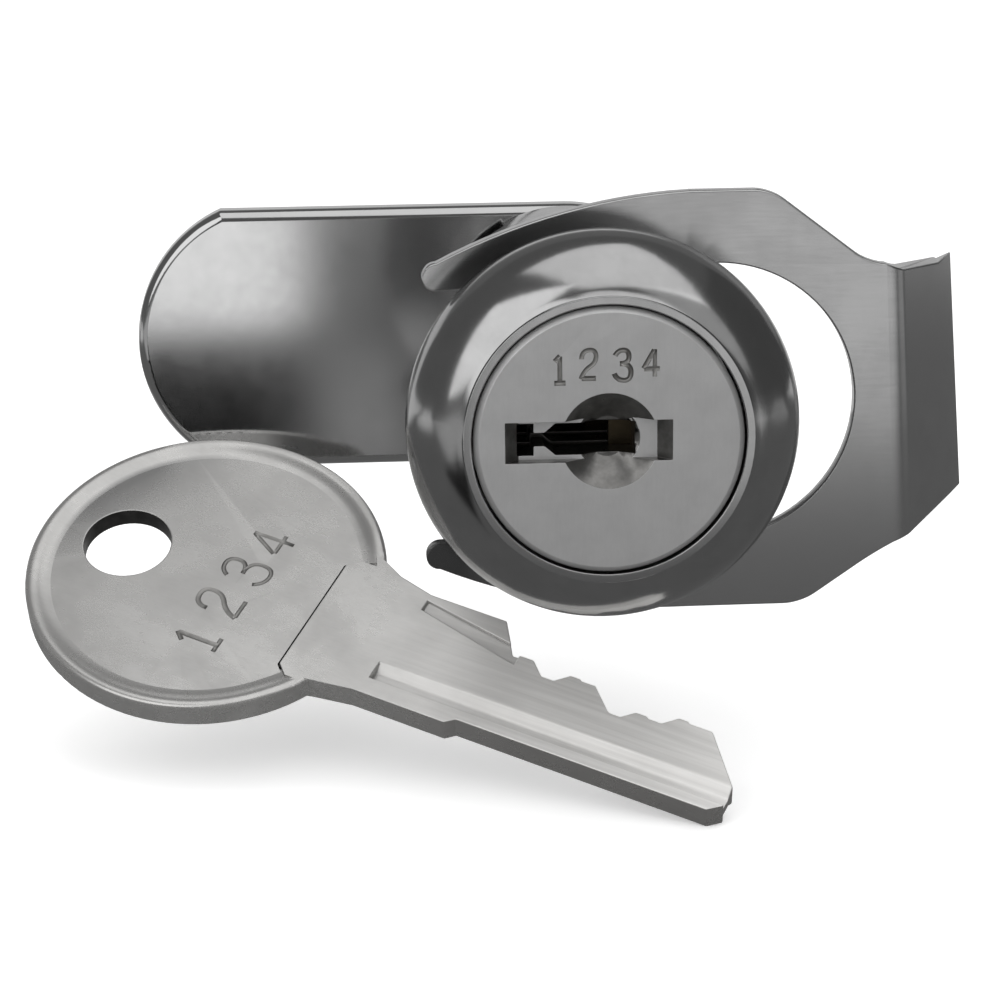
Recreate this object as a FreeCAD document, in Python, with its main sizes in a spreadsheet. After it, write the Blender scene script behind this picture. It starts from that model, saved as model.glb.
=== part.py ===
import FreeCAD, Part
import os
import Sketcher
from FreeCAD import Vector

# Wafer cam lock with a horseshoe mounting clip and its key.
# The origin is the centre of the head's back face, where it seats on the panel.
# -Y is the front of the door, +Y runs back along the plug's axis, +Z is up.

SIZES = [
    ("head_dia", 25.4, "outside diameter of the head"),
    ("head_height", 5.4, "head, from the panel to its front face"),
    ("dome_radius", 4.7, "round of the head's dome"),
    ("rim_band", 0.7, "straight band at the back of the head"),
    ("lip_width", 0.55, "flat lip around the plug"),
    ("body_dia", 19.05, "round of the body"),
    ("body_flats", 16.0, "across the two flats of the body"),
    ("body_length", 27.9, "body, from the panel to its rear end"),
    ("neck_dia", 17.8, "round of the clip's groove"),
    ("neck_flats", 16.4, "across the floors of the clip's groove"),
    ("neck_front", 1.2, "front wall of the clip's groove"),
    ("neck_back", 6.2, "back wall of the clip's groove"),
    ("plug_face_dia", 17.2, "plug's face"),
    ("plug_face_gap", 0.12, "radial gap around the plug's face"),
    ("plug_face_thick", 2.8, "thickness of the plug's face"),
    ("plug_face_chamfer", 0.35, "chamfer around the plug's face"),
    ("plug_dia", 13.2, "plug's barrel"),
    ("plug_play", 0.05, "radial running clearance of the plug"),
    ("end_play", 0.1, "running clearance along the plug's axis"),
    ("dimple_dia", 6.2, "mouth of the cone around the keyway"),
    ("dimple_floor", 2.6, "floor of the cone around the keyway"),
    ("dimple_depth", 1.5, "depth of the cone around the keyway"),
    ("recess_left", 6.6, "key recess, left of the axis"),
    ("recess_right", 4.0, "key recess, right of the axis"),
    ("recess_width", 2.6, "key recess, across the key's thickness"),
    ("recess_depth", 0.9, "depth of the key recess"),
    ("key_offset", 0.75, "key's centre line, left of the axis"),
    ("keyway_play", 0.1, "clearance around the key in its keyway"),
    ("keyway_spare", 0.5, "space above the uncut key in its keyway"),
    ("keyway_end", 15.0, "blind end of the keyway"),
    ("wafer_thick", 1.0, "thickness of a wafer"),
    ("wafer_width", 6.4, "width of a wafer"),
    ("wafer_inset", 0.05, "how far a wafer lies under the plug's round"),
    ("wafer_play", 0.06, "clearance of a wafer in its slot"),
    ("wafer_travel", 0.7, "how far a wafer moves into the housing"),
    ("locker_play", 0.1, "clearance at the end and sides of a wafer's travel"),
    ("ear_width", 1.2, "how far a wafer's spring ear stands out"),
    ("ear_length", 1.0, "length of a wafer's spring ear"),
    ("spring_dia", 1.15, "outside diameter of a wafer spring"),
    ("spring_wire", 0.2, "wire of a wafer spring"),
    ("spring_turns", 4, "turns of a wafer spring"),
    ("spring_length", 3.0, "length of a wafer spring at rest"),
    ("pocket_play", 0.1, "clearance around a wafer spring"),
    ("retainer_place", 17.6, "middle of the retainer wafer"),
    ("retainer_reach", 0.6, "how far the retainer stands out of the plug"),
    ("stop_height", 1.3, "height of the stop wall on the body's end"),
    ("stop_wall_dia", 14.9, "inside of the stop wall"),
    ("turn", 90.0, "turn of the plug, degrees"),
    ("lug_angle", 30.0, "angle that the washer's lug takes up, degrees"),
    ("stop_play", 1.0, "angle left at each stop, degrees"),
    ("stop_washer_thick", 1.4, "thickness of the stop washer"),
    ("stop_washer_dia", 14.5, "round of the stop washer"),
    ("lug_dia", 18.0, "reach of the washer's lug, as a diameter"),
    ("tail_dia", 7.0, "threaded tail of the plug"),
    ("tail_flats", 5.4, "across the flats of the tail"),
    ("tail_play", 0.05, "clearance of the holes on the tail"),
    ("tail_end", 1.0, "tail beyond the nut"),
    ("tail_chamfer", 0.6, "chamfer of the tail's end"),
    ("cam_thick", 1.9, "thickness of the cam"),
    ("cam_width", 19.05, "width of the cam"),
    ("cam_reach", 31.2, "cam, from the axis to its end"),
    ("cam_end_radius", 10.4, "round of the cam's end"),
    ("cam_edge", 0.75, "rolled front edge of the cam"),
    ("lock_washer_dia", 12.0, "lock washer"),
    ("lock_washer_thick", 0.7, "thickness of the lock washer"),
    ("tooth_count", 10, "teeth of the lock washer"),
    ("tooth_depth", 1.3, "depth of the gaps between its teeth"),
    ("tooth_gap", 1.2, "width of the gaps between its teeth"),
    ("nut_flats", 11.1, "across the flats of the nut"),
    ("nut_thick", 3.2, "thickness of the nut"),
    ("nut_chamfer", 0.5, "chamfer of the nut's corners"),
    ("clip_thick", 1.1, "sheet of the clip"),
    ("clip_front", 4.9, "front face of the clip's flat"),
    ("clip_shift", 8.0, "clip's hole, right of the axis at rest"),
    ("clip_hole_dia", 18.6, "round hole of the clip"),
    ("clip_slot", 16.8, "between the clip's legs"),
    ("clip_height", 28.2, "height of the clip"),
    ("clip_crease", 1.7, "bend of the legs, left of the hole's centre"),
    ("clip_leg_angle", 10.0, "lean of the legs towards the panel, degrees"),
    ("clip_leg_end", 19.4, "ends of the legs, left of the hole's centre"),
    ("clip_tip", 1.8, "width of the legs at their ends"),
    ("clip_leg_curve", 40.0, "radius of the legs' outer edge"),
    ("clip_shoulder", 4.8, "start of the corner cut, right of the centre"),
    ("clip_corner", 11.3, "end of the corner cut, right of the centre"),
    ("clip_corner_height", 19.4, "height of the clip there"),
    ("clip_fold", 13.3, "fold of the lip, right of the centre"),
    ("clip_fold_height", 17.9, "height of the clip at the fold"),
    ("lip_angle", 59.0, "fold of the lip away from the panel, degrees"),
    ("lip_length", 8.2, "length of the lip"),
    ("lip_height", 15.8, "height of the lip's end"),
    ("lip_corner", 1.2, "cut corner of the lip"),
    ("fold_radius", 0.5, "inside bend of the lip's fold"),
    ("key_bow_dia", 25.4, "round bow of the key"),
    ("key_thick", 1.85, "thickness of the key"),
    ("bow_rim", 0.75, "raised rim of the bow"),
    ("bow_sink", 0.2, "depth of the coined face inside the rim"),
    ("bow_edge", 0.25, "rounded edge of the bow"),
    ("bow_hole_dia", 6.2, "hole for the key ring"),
    ("bow_hole_place", 6.4, "hole, from the bow's centre"),
    ("shield_place", 8.8, "start of the raised neck, from the bow's centre"),
    ("shield_cut", 0.8, "cut corners of the raised neck"),
    ("shield_margin", 0.8, "raised neck beyond the neck's sides"),
    ("neck_narrow", 15.5, "narrow end of the neck's flare"),
    ("neck_top", 4.4, "neck, above the key's centre line"),
    ("neck_bottom", 5.5, "neck, below the key's centre line"),
    ("neck_flare", 1.4, "how much wider the neck is where it leaves the bow"),
    ("shoulder_place", 21.3, "end of the neck, from the bow's centre"),
    ("shoulder_slope", 1.6, "length of the slanted shoulder"),
    ("heel_slope", 0.6, "length of the slanted heel"),
    ("blade_top", 1.95, "uncut blade, above the key's centre line"),
    ("blade_bottom", 4.95, "blade, below the key's centre line"),
    ("blade_end", 41.0, "tip of the blade, from the bow's centre"),
    ("tip_high", 2.5, "upper corner of the tip, below the key's centre line"),
    ("tip_low", 4.2, "lower corner of the tip, below the key's centre line"),
    ("tip_top", 3.0, "length of the slanted top of the tip"),
    ("tip_bottom", 0.9, "length of the slanted bottom of the tip"),
    ("cut_first", 26.0, "first cut, from the bow's centre"),
    ("cut_pitch", 2.7, "from one cut to the next"),
    ("cut_flat", 0.9, "flat floor of a cut"),
    ("cut_ridge", 0.15, "worn ridge, above the higher of its two cuts"),
    ("cut_1", 0.9, "first cut, above the key's centre line"),
    ("cut_2", 1.6, "second cut"),
    ("cut_3", -0.1, "third cut"),
    ("cut_4", 0.5, "fourth cut"),
    ("cut_5", 1.25, "fifth cut"),
    ("mill_low", 0.85, "key's milled groove, above the blade's bottom"),
    ("mill_width", 1.6, "width of the milled groove"),
    ("mill_depth", 0.6, "depth of the milled groove"),
    ("mill_slope", 0.7, "slanted wall of the milled groove"),
    ("mill_start", 15.0, "start of the milled groove, from the bow's centre"),
    ("hollow_width", 0.9, "width of the shoulder's milled hollow"),
    ("hollow_depth", 0.3, "depth of the shoulder's milled hollow"),
    ("hollow_margin", 0.6, "from the neck's edge to the hollow"),
    ("hollow_run", 0.5, "hollow beyond the shoulder's foot"),
    ("key_lean", 4.8, "bow's centre, right of the cam's end"),
    ("key_z", -13.7, "bow's centre, above the lock's axis"),
    ("key_gap", 0.3, "from the key to the cam that it leans on"),
    ("key_heading", -26.1, "key's turn about the vertical, degrees"),
    ("key_dip", 12.9, "key's dip towards its tip, degrees"),
    ("key_roll", 29.5, "key's roll about its blade, degrees"),
]

# Places that several pieces share, worked out from the sizes.
PLACES = [
    ("body_r", "body_dia / 2"),
    ("bore_r", "plug_dia / 2 + plug_play"),
    ("face_back", "plug_face_thick - head_height"),
    ("recess_floor_y", "recess_depth - head_height"),
    ("spine_x", "-(key_offset + blade_bottom)"),
    ("keyway_left", "spine_x - keyway_play"),
    ("keyway_right", "blade_top - key_offset + keyway_spare"),
    ("keyway_half", "key_thick / 2 + keyway_play"),
    ("key_stop_y", "recess_floor_y - shoulder_place - shoulder_slope"),
    ("wafer_half", "plug_dia / 2 - wafer_inset"),
    ("wafer_side", "wafer_width / 2"),
    ("locker_r", "plug_dia / 2 + wafer_travel + locker_play"),
    ("ear_top", "wafer_side + ear_width"),
    ("spring_z", "wafer_side + wafer_play + pocket_play + spring_dia / 2"),
    ("spring_x", "ear_length / 2 + pocket_play"),
    ("pocket_end", "spring_x + spring_length + pocket_play"),
    ("stop_floor", "body_length - stop_height"),
    ("washer_y", "stop_floor + end_play"),
    ("cam_y", "washer_y + stop_washer_thick"),
    ("lock_washer_y", "cam_y + cam_thick"),
    ("nut_y", "lock_washer_y + lock_washer_thick"),
    ("tail_y", "nut_y + nut_thick + tail_end"),
    ("tip_y", "clip_front - (clip_leg_end - clip_crease) * tan(clip_leg_angle * 1deg)"),
    ("lip_x", "clip_fold + lip_length * cos(lip_angle * 1deg)"),
    ("lip_y", "clip_front + lip_length * sin(lip_angle * 1deg)"),
    ("leg_mouth", "sqrt(clip_hole_dia ^ 2 - clip_slot ^ 2) / 2"),
    ("key_x", "key_lean - cam_reach"),
    ("key_tilt", "sin(key_heading * 1deg) * sin(key_dip * 1deg) * cos(key_roll * 1deg)"
                 " - cos(key_heading * 1deg) * sin(key_roll * 1deg)"),
    ("bow_reach", "key_bow_dia / 2 * sqrt(1 - key_tilt ^ 2) - key_thick * key_tilt"),
    ("key_y", "cam_y - key_gap - bow_reach"),
]

CUTS = [entry[0] for entry in SIZES if entry[0].startswith("cut_") and entry[0][4:].isdigit()]

SKETCH_NAMES = {"XY": "XY_Plane", "XZ": "XZ_Plane", "YZ": "YZ_Plane"}


def make_sheet(doc):
    """The driving sizes, then the places worked out from them, one row each."""
    sheet = doc.addObject("Spreadsheet::Sheet", "Sizes")
    row = 1
    for alias, size, note in SIZES:
        sheet.set(f"A{row}", note)
        sheet.set(f"B{row}", str(size))
        sheet.setAlias(f"B{row}", alias)
        row += 1
    doc.recompute()
    for alias, formula in PLACES:
        sheet.set(f"A{row}", "worked out")
        sheet.set(f"B{row}", f"={formula}")
        sheet.setAlias(f"B{row}", alias)
        doc.recompute()
        row += 1
    return sheet


def sized(formula):
    """The formula with each size's name pointed at the sheet."""
    names = [entry[0] for entry in SIZES + PLACES]
    words = []
    word = ""
    for mark in formula + " ":
        if mark.isalnum() or mark == "_":
            word += mark
            continue
        words.append(f"Sizes.{word}" if word in names else word)
        words.append(mark)
        word = ""
    return "".join(words).strip()


def bind(thing, slot, formula):
    thing.setExpression(slot, sized(formula))


def worth(thing, formula):
    return float(thing.evalExpression(sized(formula)))


def new_body(doc, name):
    body = doc.addObject("PartDesign::Body", name)
    body.Label = name
    return body


def origin_part(body, role):
    for feature in body.Origin.OriginFeatures:
        if feature.Role == role:
            return feature
    raise ValueError(f"{body.Label} has no {role}")


def new_sketch(body, plane, name, away="0"):
    """A sketch on the body's own plane, moved away along the plane's normal."""
    sketch = body.newObject("Sketcher::SketchObject", name)
    sketch.AttachmentSupport = [(origin_part(body, SKETCH_NAMES[plane]), "")]
    sketch.MapMode = "FlatFace"
    bind(sketch, "AttachmentOffset.Base.z", away)
    return sketch


def pin_point(sketch, line, end, x, y):
    """Hold one end of a line at a place that the sheet gives."""
    for kind, formula in (("DistanceX", x), ("DistanceY", y)):
        held = Sketcher.Constraint(kind, -1, 1, line, end, worth(sketch, formula))
        bind(sketch, f"Constraints[{sketch.addConstraint(held)}]", formula)


def arc_between(start, end, radius, way):
    """An arc of this radius, on the short or long way round, left or right turning."""
    middle = (start + end) * 0.5
    chord = end - start
    side = Vector(-chord.y, chord.x, 0).normalize()
    rise = max(radius ** 2 - (chord.Length / 2) ** 2, 0) ** 0.5
    to_left = way in ("left", "right_long")
    centre = middle + side * (rise if to_left else -rise)
    if way.startswith("right"):
        start, end = end, start
    first = (start - centre).getAngle(Vector(1, 0, 0)) * (1 if start.y >= centre.y else -1)
    last = (end - centre).getAngle(Vector(1, 0, 0)) * (1 if end.y >= centre.y else -1)
    return Part.ArcOfCircle(Part.Circle(centre, Vector(0, 0, 1), radius), first, last)


def outline(sketch, corners):
    """A closed outline: corners (x, y), or (x, y, radius, way) where an arc leads on."""
    spots = [Vector(worth(sketch, c[0]), worth(sketch, c[1]), 0) for c in corners]
    ends = []
    for number, corner in enumerate(corners):
        start = spots[number]
        end = spots[(number + 1) % len(spots)]
        if len(corner) == 2:
            line = sketch.addGeometry(Part.LineSegment(start, end), False)
            ends.append((line, 1, 2))
            continue
        arc = arc_between(start, end, worth(sketch, corner[2]), corner[3])
        line = sketch.addGeometry(arc, False)
        turned = corner[3].startswith("right")
        ends.append((line, 2, 1) if turned else (line, 1, 2))
        held = Sketcher.Constraint("Radius", line, worth(sketch, corner[2]))
        bind(sketch, f"Constraints[{sketch.addConstraint(held)}]", corner[2])
    for number, corner in enumerate(corners):
        line, first, last = ends[number]
        before, _, before_last = ends[number - 1]
        joint = Sketcher.Constraint("Coincident", before, before_last, line, first)
        sketch.addConstraint(joint)
        pin_point(sketch, line, first, corner[0], corner[1])


def round_hole(sketch, x, y, diameter):
    size = worth(sketch, diameter)
    centre = Vector(worth(sketch, x), worth(sketch, y), 0)
    ring = sketch.addGeometry(Part.Circle(centre, Vector(0, 0, 1), size / 2), False)
    held = Sketcher.Constraint("Diameter", ring, size)
    bind(sketch, f"Constraints[{sketch.addConstraint(held)}]", diameter)
    pin_point(sketch, ring, 3, x, y)


def box_outline(sketch, left, right, low, high):
    outline(sketch, [(left, low), (right, low), (right, high), (left, high)])


def lift(body, name, sketch, length, backwards=True):
    """Add material from a sketch, backwards along +Y from a sketch on XZ."""
    feature = body.newObject("PartDesign::Pad", name)
    feature.Profile = sketch
    feature.Reversed = backwards
    bind(feature, "Length", length)
    sketch.Visibility = False
    return feature


def cut(body, name, sketch, length, backwards=False):
    """Take material from a sketch, towards +Y from a sketch on XZ."""
    feature = body.newObject("PartDesign::Pocket", name)
    feature.Profile = sketch
    feature.Reversed = backwards
    bind(feature, "Length", length)
    sketch.Visibility = False
    return feature


def cut_both_ways(body, name, sketch, length):
    feature = body.newObject("PartDesign::Pocket", name)
    feature.Profile = sketch
    feature.SideType = "Symmetric"
    bind(feature, "Length", length)
    sketch.Visibility = False
    return feature


def spin(body, name, sketch, kind="PartDesign::Revolution"):
    """Turn a sketch on XY about the lock's axis."""
    feature = body.newObject(kind, name)
    feature.Profile = sketch
    feature.ReferenceAxis = (sketch, ["V_Axis"])
    feature.Angle = 360
    sketch.Visibility = False
    return feature


def edges_where(doc, body, test):
    """Names of the edges whose ends and middle pass the test."""
    doc.recompute()
    names = []
    for number, edge in enumerate(body.Tip.Shape.Edges, start=1):
        if test(edge):
            names.append(f"Edge{number}")
    return names


def dress(doc, body, name, kind, size, test):
    """A fillet or chamfer on the edges that pass the test."""
    names = edges_where(doc, body, test)
    base = body.Tip
    feature = body.newObject(f"PartDesign::{kind}", name)
    feature.Base = (base, names)
    bind(feature, "Radius" if kind == "Fillet" else "Size", size)
    return feature


def near(one, other):
    return abs(one - other) < 1e-4


def lies_at_y(edge, y):
    return all(near(vertex.Y, y) for vertex in edge.Vertexes)


def lock_housing(doc):
    """Domed head and flatted body in one casting, bored and grooved for the plug."""
    body = new_body(doc, "lock_housing")
    profile = new_sketch(body, "XY", "housing_profile")
    face_bore = "plug_face_dia / 2 + plug_face_gap"
    lip = f"{face_bore} + lip_width"
    dome_rise = f"sqrt(dome_radius ^ 2 - ({lip} - head_dia / 2 + dome_radius) ^ 2)"
    outline(profile, [
        (face_bore, "-head_height"),
        (lip, "-head_height"),
        (lip, f"-(rim_band + {dome_rise})", "dome_radius", "left"),
        ("head_dia / 2", "-rim_band"),
        ("head_dia / 2", "0"),
        ("body_r", "0"),
        ("body_r", "body_length"),
        ("stop_wall_dia / 2", "body_length"),
        ("stop_wall_dia / 2", "stop_floor"),
        ("bore_r", "stop_floor"),
        ("bore_r", "face_back + end_play"),
        (face_bore, "face_back + end_play"),
    ])
    spin(body, "housing_turned", profile)

    flats = new_sketch(body, "XZ", "body_flat_sides")
    for side in ("", "-"):
        outline(flats, [
            (f"{side}body_flats / 2", "-body_r"),
            (f"{side}body_dia", "-body_r"),
            (f"{side}body_dia", "body_r"),
            (f"{side}body_flats / 2", "body_r"),
        ])
    cut(body, "body_flats_cut", flats, "body_length")

    groove = new_sketch(body, "XY", "neck_profile")
    box_outline(groove, "neck_dia / 2", "body_dia", "neck_front", "neck_back")
    spin(body, "neck_round", groove, "PartDesign::Groove")
    floors = new_sketch(body, "XZ", "neck_floors", "-neck_front")
    for side in ("", "-"):
        outline(floors, [
            ("-body_dia", f"{side}neck_flats / 2"),
            ("body_dia", f"{side}neck_flats / 2"),
            ("body_dia", f"{side}body_dia"),
            ("-body_dia", f"{side}body_dia"),
        ])
    cut(body, "neck_floors_cut", floors, "neck_back - neck_front")

    first_wafer = wafer_place(1)
    last_wafer = wafer_place(len(CUTS))
    edge = "wafer_thick / 2 + wafer_play + locker_play"
    lockers = new_sketch(body, "XZ", "locker_grooves", f"-({first_wafer} - ({edge}))")
    half = "(wafer_side + locker_play)"
    outline(lockers, [
        ("locker_r", f"-{half}"), ("locker_r", half), (half, half), (half, "locker_r"),
        (f"-{half}", "locker_r"), (f"-{half}", half), ("-locker_r", half),
        ("-locker_r", f"-{half}"), (f"-{half}", f"-{half}"), (f"-{half}", "-locker_r"),
        (half, "-locker_r"), (half, f"-{half}"),
    ])
    cut(body, "locker_grooves_cut", lockers, f"{last_wafer} - ({first_wafer}) + 2 * ({edge})")

    ring = new_sketch(body, "XY", "retainer_ring_profile")
    ring_edge = "(wafer_thick / 2 + locker_play)"
    box_outline(ring, "bore_r - plug_play", "plug_dia / 2 + retainer_reach + locker_play",
                f"retainer_place - {ring_edge}", f"retainer_place + {ring_edge}")
    spin(body, "retainer_ring", ring, "PartDesign::Groove")

    # a wedge out of the stop wall on the left, where the washer's lug swings
    window = new_sketch(body, "XZ", "stop_window", "-stop_floor")
    rise = "(body_dia * tan(((turn + lug_angle) / 2 + stop_play) * 1deg))"
    outline(window, [("0", "0"), ("-body_dia", rise), ("-body_dia", f"-{rise}")])
    cut(body, "stop_window_cut", window, "stop_height")
    return body


def wafer_place(number):
    """Where a wafer's middle lies along the axis: at its cut when the key is in."""
    return f"(key_stop_y + cut_first + ({number} - 1) * cut_pitch)"


def plug(doc):
    """The turning core: face, dimple, key recess, keyway, wafer slots and tail."""
    body = new_body(doc, "plug")
    profile = new_sketch(body, "XY", "plug_profile")
    outline(profile, [
        ("0", "-head_height"),
        ("plug_face_dia / 2 - plug_face_chamfer", "-head_height"),
        ("plug_face_dia / 2", "plug_face_chamfer - head_height"),
        ("plug_face_dia / 2", "face_back"),
        ("plug_dia / 2", "face_back"),
        ("plug_dia / 2", "washer_y"),
        ("tail_dia / 2", "washer_y"),
        ("tail_dia / 2", "tail_y - tail_chamfer"),
        ("tail_dia / 2 - tail_chamfer", "tail_y"),
        ("0", "tail_y"),
    ])
    spin(body, "plug_turned", profile)

    flats = new_sketch(body, "XZ", "tail_flat_sides", "-washer_y")
    for side in ("", "-"):
        outline(flats, [
            ("-tail_dia", f"{side}tail_flats / 2"),
            ("tail_dia", f"{side}tail_flats / 2"),
            ("tail_dia", f"{side}tail_dia"),
            ("-tail_dia", f"{side}tail_dia"),
        ])
    cut(body, "tail_flats_cut", flats, "tail_y - washer_y")

    cone = new_sketch(body, "XY", "dimple_profile")
    outline(cone, [
        ("0", "-head_height"),
        ("dimple_dia / 2", "-head_height"),
        ("dimple_floor / 2", "dimple_depth - head_height"),
        ("0", "dimple_depth - head_height"),
    ])
    spin(body, "dimple", cone, "PartDesign::Groove")

    recess = new_sketch(body, "XY", "recess_profile")
    outline(recess, [
        ("-recess_left", "-head_height"),
        ("recess_right", "-head_height"),
        ("recess_right - recess_depth", "recess_floor_y"),
        ("recess_depth - recess_left", "recess_floor_y"),
    ])
    cut_both_ways(body, "recess_cut", recess, "recess_width")

    keyway = new_sketch(body, "XZ", "keyway_section", "head_height")
    slit = "(key_thick / 2 - mill_depth + keyway_play)"
    ward_left = "(spine_x + mill_low + keyway_play)"
    ward_right = "(spine_x + mill_low + mill_width - mill_slope - keyway_play)"
    ward_foot = "(spine_x + mill_low + mill_width - keyway_play)"
    outline(keyway, [
        ("keyway_left", "-keyway_half"), (ward_left, "-keyway_half"),
        (ward_left, f"-{slit}"), (ward_right, f"-{slit}"),
        (ward_foot, "-keyway_half"), ("keyway_right", "-keyway_half"),
        ("keyway_right", "keyway_half"), (ward_foot, "keyway_half"),
        (ward_right, slit), (ward_left, slit),
        (ward_left, "keyway_half"), ("keyway_left", "keyway_half"),
    ])
    cut(body, "keyway_cut", keyway, "keyway_end + head_height")

    for number in range(1, len(CUTS) + 1):
        slot_for_wafer(body, f"wafer_slot_{number}", wafer_place(number))
    slot_for_wafer(body, "retainer_slot", "retainer_place")
    return body


def slot_for_wafer(body, name, place):
    """A slot through the plug, with a pocket at its top for the ear and the spring."""
    half = "(wafer_thick / 2 + wafer_play)"
    slot = new_sketch(body, "XZ", f"{name}_section", f"-({place} - {half})")
    box_outline(slot, "-plug_dia", "plug_dia",
                "-(wafer_side + wafer_play)", "wafer_side + wafer_play")
    cut(body, f"{name}_cut", slot, f"2 * {half}")

    room = "(spring_dia / 2 + pocket_play)"
    pocket = new_sketch(body, "XZ", f"{name}_pocket", f"-({place} - {room})")
    box_outline(pocket, "-(ear_length / 2 + wafer_travel + locker_play)", "pocket_end",
                "wafer_side", "ear_top + pocket_play")
    cut(body, f"{name}_pocket_cut", pocket, f"2 * {room}")


def wafer_outline(sketch, half_length):
    """Round ends under the plug's round, straight sides, and an ear at the top."""
    end = f"sqrt(({half_length}) ^ 2 - wafer_side ^ 2)"
    outline(sketch, [
        (end, "-wafer_side", half_length, "left"),
        (end, "wafer_side"),
        ("ear_length / 2", "wafer_side"),
        ("ear_length / 2", "ear_top"),
        ("-ear_length / 2", "ear_top"),
        ("-ear_length / 2", "wafer_side"),
        (f"-{end}", "wafer_side", half_length, "left"),
        (f"-{end}", "-wafer_side"),
    ])


def wafer(doc, number):
    """One sliding tumbler. Its window ends where the key's own cut would lie."""
    body = new_body(doc, f"wafer_{number}")
    place = wafer_place(number)
    plate = new_sketch(body, "XZ", f"wafer_{number}_outline", f"-({place} - wafer_thick / 2)")
    wafer_outline(plate, "wafer_half")
    lift(body, f"wafer_{number}_plate", plate, "wafer_thick")
    window = new_sketch(body, "XZ", f"wafer_{number}_window", f"-({place} - wafer_thick / 2)")
    box_outline(window, "keyway_left", f"cut_{number} - key_offset + keyway_play",
                "-(keyway_half + keyway_play)", "keyway_half + keyway_play")
    cut(body, f"wafer_{number}_window_cut", window, "wafer_thick")
    return body


def retainer_wafer(doc):
    """A solid wafer whose left end stands out into the housing's ring groove."""
    body = new_body(doc, "retainer_wafer")
    plate = new_sketch(body, "XZ", "retainer_outline", "-(retainer_place - wafer_thick / 2)")
    end = "sqrt(wafer_half ^ 2 - wafer_side ^ 2)"
    short_end = f"{end} - retainer_reach - locker_play"
    nose = "(wafer_half + retainer_reach)"
    nose_side = "(wafer_side / 2)"
    outline(plate, [
        (short_end, "-wafer_side"),
        (short_end, "wafer_side"),
        ("ear_length / 2", "wafer_side"),
        ("ear_length / 2", "ear_top"),
        ("-ear_length / 2", "ear_top"),
        ("-ear_length / 2", "wafer_side"),
        (f"-{end}", "wafer_side"),
        (f"-sqrt({nose} ^ 2 - {nose_side} ^ 2)", nose_side, nose, "left"),
        (f"-sqrt({nose} ^ 2 - {nose_side} ^ 2)", f"-{nose_side}"),
        (f"-{end}", "-wafer_side"),
    ])
    lift(body, "retainer_plate", plate, "wafer_thick")
    return body


def coil_spring(doc, name, place):
    """A coil spring from the wafer's ear to the end of its pocket."""
    body = new_body(doc, name)
    wire = new_sketch(body, "XY", f"{name}_wire")
    box_outline(wire, "0", "spring_wire", "spring_dia / 2 - spring_wire", "spring_dia / 2")
    coil = body.newObject("PartDesign::AdditiveHelix", f"{name}_coil")
    coil.Profile = wire
    coil.ReferenceAxis = (origin_part(body, "X_Axis"), [""])
    coil.Mode = "height-turns-growth"
    bind(coil, "Height", "spring_length - spring_wire")
    bind(coil, "Turns", "spring_turns")
    wire.Visibility = False
    put_at(body, "spring_x", place, "spring_z")
    return body


def put_at(body, x, y, z, heading="0", dip="0", roll="0"):
    """Move a body that is built about its own origin to its place in the lock."""
    bind(body, "Placement", f"placement(vector({x}; {y}; {z}); rotation({heading}; {dip}; {roll}))")


def tail_hole(sketch):
    """The double-flat hole that fits on the plug's tail."""
    flat = "(tail_flats / 2 + tail_play)"
    size = "(tail_dia / 2 + tail_play)"
    reach = f"sqrt({size} ^ 2 - {flat} ^ 2)"
    outline(sketch, [
        (f"-{reach}", f"-{flat}"),
        (reach, f"-{flat}", size, "left"),
        (reach, flat),
        (f"-{reach}", flat, size, "left"),
    ])


def stop_washer(doc):
    """A washer with the tail's hole and one lug, which the housing's stops catch."""
    body = new_body(doc, "stop_washer")
    plate = new_sketch(body, "XZ", "stop_washer_outline", "-washer_y")
    # the lug stands out to the lower left, in the middle of its window's lower half
    low = "((turn + lug_angle) / 2)"
    high = "((turn - lug_angle) / 2)"
    disc = "(stop_washer_dia / 2)"
    reach = "(lug_dia / 2)"
    outline(plate, [
        (f"-{disc} * cos({high} * 1deg)", f"-{disc} * sin({high} * 1deg)"),
        (f"-{reach} * cos({high} * 1deg)", f"-{reach} * sin({high} * 1deg)", reach, "left"),
        (f"-{reach} * cos({low} * 1deg)", f"-{reach} * sin({low} * 1deg)"),
        (f"-{disc} * cos({low} * 1deg)", f"-{disc} * sin({low} * 1deg)", disc, "left_long"),
    ])
    tail_hole(plate)
    lift(body, "stop_washer_plate", plate, "stop_washer_thick")
    return body


def cam(doc):
    """The flat plate that reaches behind the enclosure's frame."""
    body = new_body(doc, "cam")
    plate = new_sketch(body, "XZ", "cam_outline", "-cam_y")
    side = "(cam_width / 2)"
    corner = f"(cam_reach - cam_end_radius + sqrt(cam_end_radius ^ 2 - {side} ^ 2))"
    outline(plate, [
        (f"-{corner}", f"-{side}"),
        ("0", f"-{side}", side, "left"),
        (side, "0", side, "left"),
        ("0", side),
        (f"-{corner}", side, "cam_end_radius", "left"),
    ])
    tail_hole(plate)
    lift(body, "cam_plate", plate, "cam_thick")
    front = worth(plate, "cam_y")
    hole = worth(plate, "tail_dia")
    dress(doc, body, "cam_rolled_edge", "Fillet", "cam_edge",
          lambda edge: lies_at_y(edge, front) and edge.BoundBox.DiagonalLength > hole)
    return body


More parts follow.
